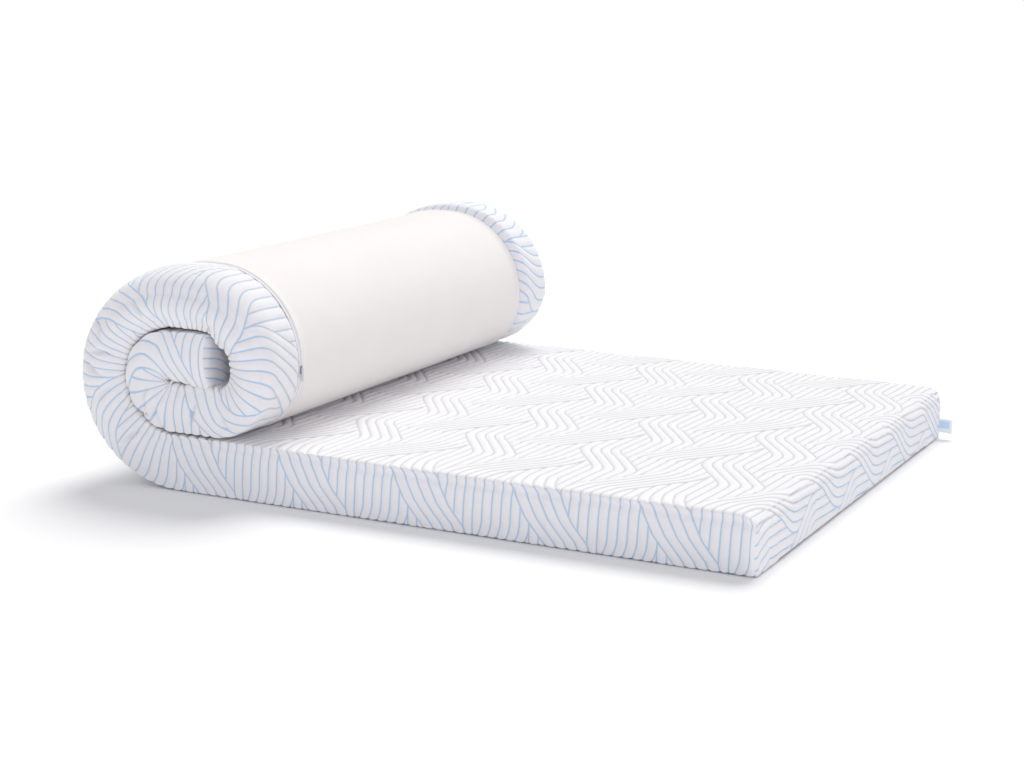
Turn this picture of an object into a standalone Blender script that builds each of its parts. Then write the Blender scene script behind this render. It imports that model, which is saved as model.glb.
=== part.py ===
"""Mattress topper with one half rolled up: a quilted foam pad, flat on the floor, that winds at one
end into a roll of one and a half turns with its underside outwards.

X runs along the pad towards its open end, Y across it and Z up, in metres. Every piece follows one
line, the line of the pad's underside. It starts at the open end, runs flat along the floor, goes
up and round the roll's back and shoulder, then round the inner turn to the tail end. A point of a piece has three sizes:
s, how far along that line it is; y, where it is across the pad; and h, how deep it lies in the pad,
measured from the underside.
"""

from collections import namedtuple

import bpy
import numpy as np

# Driving sizes, in metres
WIDTH = 0.900  # across the pad, seam to seam
THICK = 0.085  # of the pad where it lies flat
BED_LENGTH = 0.8925  # flat on the floor, from the open end to the start of the outer turn
FOOT_RADIUS = 0.190  # outside of the roll where it leaves the floor, and again where it nears its top
BACK_RADIUS = 0.159  # the same round its back, between those two
SHOULDER_RADIUS = 0.149  # outside of the roll, from its top round to its right side
LAYER_GAP = 0.0018  # between layers that press on each other in the roll
FOLD_RADIUS = 0.0755  # outside of the inner turn's tight fold
FOLD_TOP_RADIUS = 0.066  # the same, where the fold slackens towards the tail

# The quilted cover
RIB_PITCH = 0.0168  # from groove to groove
RIB_DEPTH = 0.003  # crest over groove
REPEAT = 0.1895  # across the pad, from zigzag to zigzag
ZIGZAG = 0.045  # how far the ribs jog along the pad
SIDE_LEAN = 0.012  # how far the ribs drift along the pad down a side
EDGE_ROUND = 0.012  # of the pad's long edges
ROLL_ROUND = 0.060  # the same at the top of the roll, where the near edge slackens
FAR_SHARE = 0.4  # of that slackening at the far edge
SIDE_CROWN = 0.004  # how far the sides stand out at half height
END_ROUND = 0.009  # of the edges of both end faces

# The underside panel, its zip and its label
BORDER = 0.092  # quilted border of the underside, side to panel
END_BORDER = 0.085  # the same at both ends
PANEL_THICK = 0.002
PANEL_BED = 0.0025  # depth of the pad's recess for panel and zip
DRAW_IN = 0.0105  # how far the tight panel draws the roll in, under its border
ZIP_WIDTH = 0.006
ZIP_THICK = 0.0013
ZIP_SINK = 0.0006  # tape under the panel's face
SEAM_GAP = 0.0004  # between pieces that are sewn side by side
SLIDER_PAST = 0.006  # along the zip, from the roll's rightmost line down to the slider
LABEL_SIZE = (0.017, 0.001, 0.022)  # out from the end face, thick, high
LABEL_Z = 0.011  # its lower edge
LABEL_INSET = 0.014  # in from the far side

# The rows of the underside's line. A run with a radius turns; length is then radius times turn.
# thick is the pad's thickness at the end of the run, less where the foam is pressed.
Run = namedtuple("Run", "name length radius turn_deg thick")
ROLL_HEIGHT = (2 - np.sqrt(2)) * FOOT_RADIUS + np.sqrt(2) * BACK_RADIUS
ROLL_BACK = FOOT_RADIUS * np.sqrt(0.5) + BACK_RADIUS * (1 - np.sqrt(0.5))
HEEL_RADIUS = ROLL_HEIGHT - SHOULDER_RADIUS - THICK - LAYER_GAP
RUNS = [
    Run("bed", BED_LENGTH, None, 0, THICK),
    Run("foot", None, FOOT_RADIUS, 45, 0.082),
    Run("back", None, BACK_RADIUS, 90, 0.084),
    Run("top", None, FOOT_RADIUS, 45, 0.0875),
    Run("crown", 0.018, None, 0, 0.0875),
    Run("shoulder", None, SHOULDER_RADIUS, 90, 0.078),
    Run("heel", None, HEEL_RADIUS, 90, 0.0735),
    Run("second layer", 0.0755, None, 0, 0.0735),
    Run("fold", None, FOLD_RADIUS, 90, 0.0725),
    Run("fold top", None, FOLD_TOP_RADIUS, 78, 0.064),
    Run("tail", 0.075, None, 0, 0.080),
]


def run_lengths():
    """Length of the underside along each run."""
    return np.array([
        r.length if r.radius is None else r.radius * np.radians(r.turn_deg) for r in RUNS
    ])


RUN_ENDS = np.concatenate([[0.0], np.cumsum(run_lengths())])
TOTAL = RUN_ENDS[-1]
START_OF = {r.name: s for r, s in zip(RUNS, RUN_ENDS)}
END_OF = {r.name: s for r, s in zip(RUNS, RUN_ENDS[1:])}

# The part's origin is under the middle of its whole extent: from the roll's back to the label's edge.
END_CREST = RIB_DEPTH  # the end face's ribs stand out this far
BACK_SINK = 0.0016  # the borders lie this far inside the roll's own line at its back
REACH_OPEN = END_CREST + SEAM_GAP + LABEL_SIZE[0]
X_OPEN = (BED_LENGTH + ROLL_BACK - BACK_SINK - REACH_OPEN) / 2


def headings():
    """Start point and heading of each run, as rows of (x, z, angle), by walking the rows in turn."""
    x, z, angle = X_OPEN, 0.0, np.pi
    rows = []
    for run in RUNS:
        rows.append((x, z, angle))
        if run.radius is None:
            x += run.length * np.cos(angle)
            z += run.length * np.sin(angle)
            continue
        turned = angle - np.radians(run.turn_deg)
        x += run.radius * (np.sin(angle) - np.sin(turned))
        z += run.radius * (np.cos(turned) - np.cos(angle))
        angle = turned
    return np.array(rows)


HEADINGS = headings()


def place(s, y, h):
    """Points in space: along the underside's line by s, then h to the right of its heading."""
    s, y, h = np.broadcast_arrays(np.asarray(s, float), y, h)
    index = np.clip(np.searchsorted(RUN_ENDS, s, side="right") - 1, 0, len(RUNS) - 1)
    x0, z0, angle = HEADINGS[index].T
    along = s - RUN_ENDS[index]
    bend = np.array([0.0 if r.radius is None else 1 / r.radius for r in RUNS])[index]
    turned = angle - along * bend
    radius = np.divide(1.0, bend, out=np.zeros_like(bend), where=bend > 0)
    straight = bend == 0
    x = x0 + np.where(straight, along * np.cos(angle), radius * (np.sin(angle) - np.sin(turned)))
    z = z0 + np.where(straight, along * np.sin(angle), radius * (np.cos(turned) - np.cos(angle)))
    return np.stack([x + h * np.sin(turned), y, z - h * np.cos(turned)], axis=-1)


def smooth(t):
    """0 to 1 with a level start and end."""
    t = np.clip(t, 0, 1)
    return t * t * (3 - 2 * t)


def thickness(s):
    """Of the pad at s: the value of each row at its end, straight between them."""
    return np.interp(s, RUN_ENDS, [THICK] + [r.thick for r in RUNS])


def drawn_in(s):
    """How deep the panel lies under the border: none on the bed, all of it round the roll."""
    rise = smooth((s - START_OF["foot"]) / (0.5 * FOOT_RADIUS))
    fall = smooth((END_OF["heel"] - s) / (END_OF["heel"] - START_OF["heel"]))
    return DRAW_IN * rise * fall


def rounding(s, share):
    """Of the long edge on the underside: it grows from the floor to the roll's top, by that share
    of what the near edge slackens, and tightens again towards the heel."""
    rise = smooth((s - START_OF["foot"]) / (START_OF["crown"] - START_OF["foot"]))
    fall = smooth((END_OF["heel"] - s) / (END_OF["heel"] - START_OF["shoulder"]))
    return EDGE_ROUND + share * (ROLL_ROUND - EDGE_ROUND) * rise * fall


# How far each side's border stands out from the roll's own line, past these places along it.
Rim = namedtuple("Rim", "s near far")
RIMS = [
    Rim(START_OF["back"], 0.0, 0.0),
    Rim(START_OF["top"], -0.003, -0.008),
    Rim(START_OF["crown"], -0.0075, 0.0),
    Rim(START_OF["shoulder"] + SHOULDER_RADIUS * 0.5, -0.0075, 0.003),
    Rim(END_OF["shoulder"], -0.0075, 0.002),
    Rim(END_OF["shoulder"] + HEEL_RADIUS * 0.8, -0.004, -0.006),
    Rim(END_OF["heel"], 0.0, 0.0),
]


def rim(s, near_share):
    """Out of the roll's line: the near border's share of its column, the far border's of its own."""
    places = [row.s for row in RIMS]
    near = np.interp(s, places, [row.near for row in RIMS])
    far = np.interp(s, places, [row.far for row in RIMS])
    return near_share * near + (1 - near_share) * far


def zigzag_fade(s):
    """1 over the open bed, 0 at the open end and where the roll lies on the bed."""
    return smooth(s / 0.06) * smooth((BED_LENGTH - 0.01 - s) / 0.11)


# One zigzag across the pad: share of the repeat, and jog as a share of ZIGZAG.
ZIGZAG_SHAPE = [(0.10, 0.0), (0.50, 1.0), (0.75, 0.0)]

# Half of the pad's section, from the panel out and round to the upper face.
# d is how far in from the side and h how deep from the face named. round is what the rounding of
# the underside's edge adds to both, groove is the way a groove moves the point, and lean is its
# share of SIDE_LEAN.
Corner = namedtuple("Corner", "name d h round face groove lean")
SECTION = [
    Corner("recess", BORDER - ZIP_WIDTH, PANEL_BED, (0, 0), "panel", (0, 0), 0.0),
    Corner("lip", BORDER - ZIP_WIDTH - 0.001, 0.0008, (0, 0), "panel", (0, 0), 0.0),
    Corner("border", 0.8 * BORDER, 0.0, (0, 0), "under", (0, 1), 1.0),
    Corner("heel", 0.003, 0.0, (1, 0), "under", (0, 1), 1.0),
    Corner("heel turn", 0.0005, 0.0, (0.29, 0.17), "under", (0.5, 0.8), 1.0),
    Corner("heel side", 0.0, 0.004, (0, 0.55), "under", (0.8, 0.5), 1.0),
    Corner("side", -SIDE_CROWN, 0.5, (0, 0), "middle", (0.8, 0), 0.5),
    Corner("edge side", 0.003, EDGE_ROUND, (0, 0), "upper", (0.8, -0.5), 0.0),
    Corner("edge", 0.016, 0.0, (0, 0), "upper", (0, -1), 0.0),
]


def half_section():
    """The rows of SECTION as arrays. h is h0 + h1 * thickness + h2 * drawn_in."""
    h1 = {"panel": 0.0, "under": 0.0, "middle": 0.5, "upper": 1.0}
    sign = {"panel": 1.0, "under": 1.0, "middle": 0.0, "upper": -1.0}
    return {
        "y": np.array([c.d - WIDTH / 2 for c in SECTION]),
        "h0": np.array([sign[c.face] * c.h for c in SECTION]),
        "h1": np.array([h1[c.face] for c in SECTION]),
        "h2": np.array([1.0 if c.face == "panel" else 0.0 for c in SECTION]),
        "round_y": np.array([c.round[0] for c in SECTION]),
        "round_h": np.array([c.round[1] for c in SECTION]),
        "groove_y": np.array([c.groove[0] for c in SECTION]),
        "groove_h": np.array([c.groove[1] for c in SECTION]),
        "lean": np.array([c.lean * SIDE_LEAN for c in SECTION]),
        "rim": np.array([1.0 if c.face == "under" else 0.0 for c in SECTION]),
        "near": np.ones(len(SECTION)),
        "jog": np.zeros(len(SECTION)),
    }


def upper_face():
    """The points across the upper face, one for each bend of the zigzag."""
    repeats = int(np.ceil(WIDTH / REPEAT))
    rows = np.array([(n + share, jog) for n in range(repeats) for share, jog in ZIGZAG_SHAPE])
    y = rows[:, 0] * REPEAT - WIDTH / 2
    keep = (y > 0.02 - WIDTH / 2) & (y < WIDTH / 2 - 0.02)
    y, jog = y[keep], rows[keep, 1]
    flat, one = np.zeros(len(y)), np.ones(len(y))
    return {
        "y": y, "h0": flat, "h1": one, "h2": flat, "round_y": flat, "round_h": flat,
        "groove_y": flat, "groove_h": -one, "lean": flat, "rim": flat, "near": flat,
        "jog": jog * ZIGZAG,
    }


def whole_section(with_upper_face):
    """Near half, upper face if wanted, and far half, with a key on each point for joining rings."""
    near, upper = half_section(), upper_face()
    far = {name: values[::-1].copy() for name, values in near.items()}
    for name in ("y", "round_y", "groove_y"):
        far[name] *= -1
    far["near"][:] = 0.0
    parts = [near, upper, far] if with_upper_face else [near, far]
    section = {name: np.concatenate([p[name] for p in parts]) for name in near}
    count, across = len(SECTION), len(upper["y"])
    far_keys = count + across + np.arange(count)
    middle = count + np.arange(across) if with_upper_face else []
    section["key"] = np.concatenate([np.arange(count), middle, far_keys])
    return section


def ring(section, s, groove, inset=0.0, out=0.0):
    """The points of one section of the pad at s, on a groove or a crest of the ribs.

    inset shrinks the whole section about its middle, for an end face, and out moves it along s."""
    fade = zigzag_fade(s)
    flat_panel = END_BORDER < s < TOTAL - END_BORDER
    where = s + out + section["jog"] * fade + section["lean"] * smooth(min(s, TOTAL - s) / 0.06)
    depth = section["h0"].copy()
    if not flat_panel:
        depth[section["h2"] > 0] = 0.0
    depth += section["h1"] * thickness(s) + section["h2"] * drawn_in(s)
    cut = groove * RIB_DEPTH
    edge = rounding(s, FAR_SHARE + (1 - FAR_SHARE) * section["near"])
    y = section["y"] + section["round_y"] * edge + section["groove_y"] * cut
    h = depth + section["round_h"] * edge + section["groove_h"] * cut
    h -= section["rim"] * rim(s, section["near"])
    middle = thickness(s) / 2
    y = y * (1 - inset / (WIDTH / 2))
    h = middle + (h - middle) * (1 - inset / middle)
    return place(where, y, h)


def rib_stations():
    """(s, groove) of each groove and crest, run by run, with the ribs even along the pad's middle."""
    stations = []
    for run, start, end in zip(RUNS, RUN_ENDS, RUN_ENDS[1:]):
        middle = (end - start) - np.radians(run.turn_deg) * thickness((start + end) / 2) / 2
        ribs = max(1, round(middle / RIB_PITCH))
        s = np.linspace(start, end, 2 * ribs, endpoint=False)
        stations += list(zip(s, np.tile([1.0, 0.0], ribs)))
    return [(s, groove) for s, groove in stations if END_ROUND * 1.6 < s < TOTAL - END_ROUND * 1.6]


def join(faces, first, second, keys_a, keys_b):
    """Faces between two closed rings whose points carry rising keys: quads where the keys agree,
    triangles where one ring has more points than the other."""
    a, b, i, j = len(keys_a), len(keys_b), 0, 0
    while i < a or j < b:
        next_a = keys_a[i + 1] if i + 1 < a else np.inf
        next_b = keys_b[j + 1] if j + 1 < b else np.inf
        a0, b0 = first + i % a, second + j % b
        a1, b1 = first + (i + 1) % a, second + (j + 1) % b
        if i < a and j < b and next_a == next_b:
            faces.append((a0, a1, b1, b0))
            i, j = i + 1, j + 1
        elif j >= b or (i < a and next_a < next_b):
            faces.append((a0, a1, b0))
            i += 1
        else:
            faces.append((a0, b1, b0))
            j += 1


def cap(faces, first, section):
    """Closes a ring with a strip between its under side and its upper side."""
    half = len(SECTION)
    count = len(section["key"])
    under = list(range(half - 3, -1, -1)) + list(range(count - 1, count - half + 1, -1))
    upper = list(range(half - 3, count - half + 3))
    y = section["y"]
    i = j = 0
    while i < len(under) - 1 or j < len(upper) - 1:
        reach_i = y[under[i + 1]] if i + 1 < len(under) else np.inf
        reach_j = y[upper[j + 1]] if j + 1 < len(upper) else np.inf
        if reach_i <= reach_j:
            corner = (under[i], under[i + 1], upper[j])
            i += 1
        else:
            corner = (under[i], upper[j + 1], upper[j])
            j += 1
        if len(set(corner)) == 3:
            faces.append(tuple(first + c for c in corner))


def end_rings(section, s_end, inward):
    """Rings of one end face, from its rim in: rounding first, then ribs that run across the pad."""
    rows = [(END_ROUND * 0.45, END_ROUND * 0.30), (0.0, END_ROUND)]
    for n in range(1, 6):
        rows.append((-END_CREST * (n % 2), END_ROUND + n * 0.0055))
    return [ring(section, s_end, 0.0, inset, inward * out) for out, inset in rows]


def make_object(name, vertices, faces, colour, roughness, metallic=0.0, smooth_angle=40.0):
    """A named mesh object with its faces outwards and a material of its own."""
    vertices = np.asarray(vertices, float)
    faces = [tuple(map(int, f)) for f in faces]
    corners = np.array([
        (f[0], f[k], f[k + 1]) for f in faces for k in range(1, len(f) - 1)
    ])
    volume = np.linalg.det(vertices[corners]).sum()
    if volume < 0:
        faces = [f[::-1] for f in faces]
    mesh = bpy.data.meshes.new(name)
    mesh.from_pydata(vertices.tolist(), [], faces)
    mesh.validate()
    mesh.shade_smooth()
    mesh.set_sharp_from_angle(angle=np.radians(smooth_angle))
    material = bpy.data.materials.new(name)
    material.use_nodes = True
    shader = material.node_tree.nodes["Principled BSDF"]
    shader.inputs["Base Color"].default_value = (*colour, 1.0)
    shader.inputs["Roughness"].default_value = roughness
    shader.inputs["Metallic"].default_value = metallic
    material.diffuse_color = (*colour, 1.0)
    mesh.materials.append(material)
    obj = bpy.data.objects.new(name, mesh)
    bpy.context.scene.collection.objects.link(obj)
    return obj


def make_topper_body():
    """The filled pad in its quilted cover: rings at every groove and crest, joined and capped."""
    full, plain = whole_section(True), whole_section(False)
    rings = [(full, r) for r in reversed(end_rings(full, 0.0, 1.0))]
    for s, groove in rib_stations():
        section = full if s < BED_LENGTH - 0.02 else plain
        rings.append((section, ring(section, s, groove)))
    rings += [(plain, r) for r in end_rings(plain, TOTAL, -1.0)]
    vertices = np.concatenate([points for _, points in rings])
    starts = np.cumsum([0] + [len(points) for _, points in rings])
    faces = []
    for n in range(len(rings) - 1):
        keys = rings[n][0]["key"], rings[n + 1][0]["key"]
        join(faces, starts[n], starts[n + 1], *keys)
    first_cap, last_cap = [], []
    cap(first_cap, starts[0], full)
    cap(last_cap, starts[-2], plain)
    faces += first_cap + [f[::-1] for f in last_cap]
    return make_object("topper_body", vertices, faces, (0.83, 0.84, 0.90), 0.85)


def wound_strip(name, y0, y1, h0, h1, colour, roughness):
    """A thin strip that follows the underside between both end borders: four points a ring."""
    inner = [s for s, _ in rib_stations() if END_BORDER < s < TOTAL - END_BORDER]
    on_bed = [s for s in inner if s < BED_LENGTH - 0.02]
    stations = [on_bed[0] + SEAM_GAP, on_bed[-1]] + inner[len(on_bed):]
    stations[-1] -= SEAM_GAP
    y = np.array([y0, y1, y1, y0])
    h = np.array([h0, h0, h1, h1])
    rings = [place(s, y, h + drawn_in(s)) for s in stations]
    keys = np.arange(4)
    faces = [(3, 2, 1, 0)]
    for n in range(len(rings) - 1):
        join(faces, 4 * n, 4 * n + 4, keys, keys)
    last = 4 * (len(rings) - 1)
    faces.append((last, last + 1, last + 2, last + 3))
    return make_object(name, np.concatenate(rings), faces, colour, roughness)


def make_base_panel():
    edge = WIDTH / 2 - BORDER
    return wound_strip("base_panel", -edge, edge, 0.0, PANEL_THICK, (0.86, 0.83, 0.80), 0.8)


def make_zip_tapes():
    outer = WIDTH / 2 - BORDER + ZIP_WIDTH - SEAM_GAP
    inner = WIDTH / 2 - BORDER + SEAM_GAP
    top = ZIP_SINK + ZIP_THICK
    grey = (0.62, 0.63, 0.67)
    wound_strip("zip_tape_near", -outer, -inner, ZIP_SINK, top, grey, 0.7)
    wound_strip("zip_tape_far", inner, outer, ZIP_SINK, top, grey, 0.7)


def bevelled_block(name, size, bevel, colour, roughness, metallic):
    """A block of that size on the origin, with its edges bevelled."""
    bpy.ops.mesh.primitive_cube_add(size=1.0)
    obj = bpy.context.active_object
    obj.name = obj.data.name = name
    corners = np.array([v.co[:] for v in obj.data.vertices]) * size
    obj.data.vertices.foreach_set("co", corners.astype(np.float32).ravel())
    modifier = obj.modifiers.new("Bevel", "BEVEL")
    modifier.width = bevel
    modifier.segments = 2
    material = bpy.data.materials.new(name)
    material.use_nodes = True
    shader = material.node_tree.nodes["Principled BSDF"]
    shader.inputs["Base Color"].default_value = (*colour, 1.0)
    shader.inputs["Roughness"].default_value = roughness
    shader.inputs["Metallic"].default_value = metallic
    obj.data.materials.append(material)
    return obj


def make_slider_and_pull():
    """The slider sits in the zip's channel on the roll's right side, with its pull hanging down."""
    s = START_OF["heel"] + SLIDER_PAST
    y = -WIDTH / 2 + BORDER - ZIP_WIDTH / 2
    metal = ((0.45, 0.45, 0.47), 0.35, 1.0)
    slider_size = (0.0026, 0.0046, 0.012)
    pull_size = (0.0010, 0.0042, 0.020)
    slider = bevelled_block("zip_slider", slider_size, 0.0007, *metal)
    slider.location = place(s, y, drawn_in(s) + ZIP_SINK - SEAM_GAP - slider_size[0] / 2)
    slider.rotation_euler = (0, SLIDER_PAST / HEEL_RADIUS, 0)
    pull = bevelled_block("zip_pull", pull_size, 0.0003, *metal)
    pull.location = slider.location
    pull.location.x += slider_size[0] / 2 + SEAM_GAP + pull_size[0] / 2
    pull.location.z += 0.003 - pull_size[2] / 2


def make_side_label():
    """A cloth tab that stands out of the end face near its far upright corner."""
    label = bevelled_block("side_label", LABEL_SIZE, 0.0003, (0.80, 0.88, 0.94), 0.8, 0.0)
    label.location.x = X_OPEN + END_CREST + SEAM_GAP + LABEL_SIZE[0] / 2
    label.location.y = WIDTH / 2 - LABEL_INSET
    label.location.z = LABEL_Z + LABEL_SIZE[2] / 2


def main():
    for obj in list(bpy.data.objects):
        bpy.data.objects.remove(obj)
    make_topper_body()
    make_base_panel()
    make_zip_tapes()
    make_slider_and_pull()
    make_side_label()


main()
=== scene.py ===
# %% [markdown]
# # A mattress topper, half rolled up
#
# The object is a foam pad, 0.9 m wide and 85 mm thick, in a quilted knit cover. One half lies flat
# on the floor and the other is wound into a roll with its underside outwards, so the smooth panel
# of the underside and its zip show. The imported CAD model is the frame: it is loaded first, and
# every piece made here stands where a CAD node stands.

# %% Load the frame
from collections import namedtuple

import bmesh
import bpy
import numpy as np
from mathutils import Matrix, Vector


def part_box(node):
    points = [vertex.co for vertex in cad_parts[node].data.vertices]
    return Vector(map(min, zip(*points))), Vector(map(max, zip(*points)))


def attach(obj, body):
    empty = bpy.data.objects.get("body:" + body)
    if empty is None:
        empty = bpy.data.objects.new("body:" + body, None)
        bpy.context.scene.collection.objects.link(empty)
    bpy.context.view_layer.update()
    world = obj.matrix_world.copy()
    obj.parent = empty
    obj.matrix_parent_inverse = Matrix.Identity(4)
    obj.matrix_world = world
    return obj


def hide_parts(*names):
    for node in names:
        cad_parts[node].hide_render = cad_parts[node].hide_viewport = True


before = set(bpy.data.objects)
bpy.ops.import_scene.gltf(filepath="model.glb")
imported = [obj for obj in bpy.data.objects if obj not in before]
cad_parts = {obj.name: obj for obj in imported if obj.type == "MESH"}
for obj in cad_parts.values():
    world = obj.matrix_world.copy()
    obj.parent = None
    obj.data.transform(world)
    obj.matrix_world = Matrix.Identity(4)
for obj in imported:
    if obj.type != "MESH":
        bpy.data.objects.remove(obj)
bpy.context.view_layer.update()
scene = bpy.context.scene
print("CAD nodes:", ", ".join(sorted(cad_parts)))

# %% [markdown]
# ## Real sizes
#
# All sizes are in metres and are the ones that the CAD model was made with. Everything follows one
# line, the line of the pad's underside: it starts at the open end, runs along the floor, goes up
# round the roll's back and over its shoulder, and then round the inner turn to the tail. Each run
# of the line is straight or an arc, so a table says all there is to say about it.

# %% Sizes of the pad and the line it follows
WIDTH = 0.900
THICK = 0.085
BED_LENGTH = 0.8925
FOOT_RADIUS = 0.190
BACK_RADIUS = 0.159
SHOULDER_RADIUS = 0.149
LAYER_GAP = 0.0018
ROLL_HEIGHT = (2 - np.sqrt(2)) * FOOT_RADIUS + np.sqrt(2) * BACK_RADIUS
ROLL_BACK = FOOT_RADIUS * np.sqrt(0.5) + BACK_RADIUS * (1 - np.sqrt(0.5))
HEEL_RADIUS = ROLL_HEIGHT - SHOULDER_RADIUS - THICK - LAYER_GAP
END_CREST = 0.003  # how far the CAD body's ribs stand out of its open end
LABEL_REACH = 0.0174
BACK_SINK = 0.0016  # how far the roll's back lies inside its own line
X_OPEN = round(float(BED_LENGTH + ROLL_BACK - BACK_SINK - END_CREST - LABEL_REACH) / 2, 6)

Run = namedtuple("Run", "name length radius turn_deg thick_at_end")
RUNS = [
    Run("bed", BED_LENGTH, None, 0, THICK),
    Run("foot", None, FOOT_RADIUS, 45, 0.082),
    Run("back", None, BACK_RADIUS, 90, 0.084),
    Run("top", None, FOOT_RADIUS, 45, 0.0875),
    Run("crown", 0.018, None, 0, 0.0875),
    Run("shoulder", None, SHOULDER_RADIUS, 90, 0.078),
    Run("heel", None, HEEL_RADIUS, 90, 0.0735),
    Run("second layer", 0.0755, None, 0, 0.0735),
    Run("fold", None, 0.0755, 90, 0.0725),
    Run("fold top", None, 0.066, 87, 0.064),
    Run("tail", 0.076, None, 0, 0.080),
]
lengths = [r.length if r.radius is None else r.radius * np.radians(r.turn_deg) for r in RUNS]
RUN_ENDS = np.concatenate([[0.0], np.cumsum(lengths)])
TOTAL = RUN_ENDS[-1]
START = {r.name: s for r, s in zip(RUNS, RUN_ENDS)}
END = {r.name: s for r, s in zip(RUNS, RUN_ENDS[1:])}
print(f"underside {TOTAL:.3f} m long, roll {ROLL_HEIGHT:.3f} m high, open end at x = {X_OPEN:.4f}")

# %% [markdown]
# ## The underside's line as a function
#
# `place` turns three sizes of a point into x, y and z: how far along the line it is, where it is
# across the pad, and how deep it lies in the pad. It works on whole arrays, so a surface of a
# hundred thousand points is one call.

# %% Walk the runs once, then place points along them
def run_starts():
    """x, z and heading at the start of each run. A straight run adds its length along the heading.
    An arc turns right about a centre to its right, so its chord is radius times the change of the
    heading's sine and cosine."""
    x, z, angle, rows = X_OPEN, 0.0, np.pi, []
    for run, length in zip(RUNS, lengths):
        rows.append((x, z, angle))
        if run.radius is None:
            x, z = x + length * np.cos(angle), z + length * np.sin(angle)
        else:
            turned = angle - np.radians(run.turn_deg)
            x += run.radius * (np.sin(angle) - np.sin(turned))
            z += run.radius * (np.cos(turned) - np.cos(angle))
            angle = turned
    return np.array(rows)


RUN_STARTS = run_starts()
BENDS = np.array([0.0 if r.radius is None else 1 / r.radius for r in RUNS])


def run_of(s):
    """Index of the run that each s falls in."""
    return np.clip(np.searchsorted(RUN_ENDS, s, side="right") - 1, 0, len(RUNS) - 1)


def place(s, y, h):
    """Points in space. The line's point at s is found from its run, and h goes to the right of the
    heading, which is into the pad."""
    s, y, h = np.broadcast_arrays(np.asarray(s, float), y, h)
    index = run_of(s)
    x0, z0, angle = np.moveaxis(RUN_STARTS[index], -1, 0)
    along, bend = s - RUN_ENDS[index], BENDS[index]
    turned = angle - along * bend
    straight = bend == 0
    radius = 1 / np.where(straight, 1.0, bend)
    x = x0 + np.where(straight, along * np.cos(angle), radius * (np.sin(angle) - np.sin(turned)))
    z = z0 + np.where(straight, along * np.sin(angle), radius * (np.cos(turned) - np.cos(angle)))
    return np.stack([x + h * np.sin(turned), y, z - h * np.cos(turned)], axis=-1)


def smooth(t):
    """0 to 1 with a level start and end: t squared times (3 - 2t)."""
    t = np.clip(t, 0, 1)
    return t * t * (3 - 2 * t)


def thickness(s):
    """Of the pad: each run's value at its end, straight between them."""
    return np.interp(s, RUN_ENDS, [THICK] + [r.thick_at_end for r in RUNS])


# %% [markdown]
# ## The quilting, written once and used twice
#
# The cover is quilted in parallel ribs 14 mm apart. Zigzag ribbons of five stitch lines lie over
# straight ribs, and slanted ribbons of dense lines cross between them. The pattern repeats every
# 13 ribs along the pad and every 190 mm across it. Modelling one tile and repeating it would leave
# joints, and a painted pattern would stay flat.
#
# So the whole pattern is one table of small sums on two numbers, u along the cloth and v across it.
# numpy runs the table to push the stitch lines into the mesh, and the same table becomes Math
# nodes that colour them: sky-blue yarn down the sides, and painted grey shade in the grooves of the
# upper face, so the colour always lies in the groove.

# %% Sizes of the quilting
UNIT = 0.0850662  # the chart's unit: the pad's own thickness
RIB = 2.175 * UNIT / 13  # 14.2 mm from stitch line to stitch line
REPEAT_RIBS = 13.0
REPEAT_ACROSS = 2.236 * UNIT
LEAN = 0.0537  # how far a rib drifts along the pad for each metre across it
CHART_U, CHART_V = 4.159 * UNIT - 0.002, 2.75 * UNIT  # the chart's corner on the cloth

# A ribbon jogs sideways between two bends. turn and back say where the middles of its bends lie down
# the row and the next two how long half of each is. jog, first, ribs and widening are in ribs: how far
# it jogs, its first line, its width, and what the jog adds to that. It starts at lead above its row.
Ribbon = namedtuple("Ribbon", "turn back turn_bend back_bend jog first ribs widening lead")
ZIGZAG = Ribbon(0.14 * UNIT, 1.26 * UNIT, 0.20 * UNIT, 0.20 * UNIT, -5.0, 0.0, 4.0, 0.85, 0.5 * UNIT)
SLANTED = Ribbon(-1.10 * UNIT, 0.13 * UNIT, 0.27 * UNIT, 0.16 * UNIT, 5.0, 11.0, 5.0, 0.0, 1.5 * UNIT)


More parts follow.
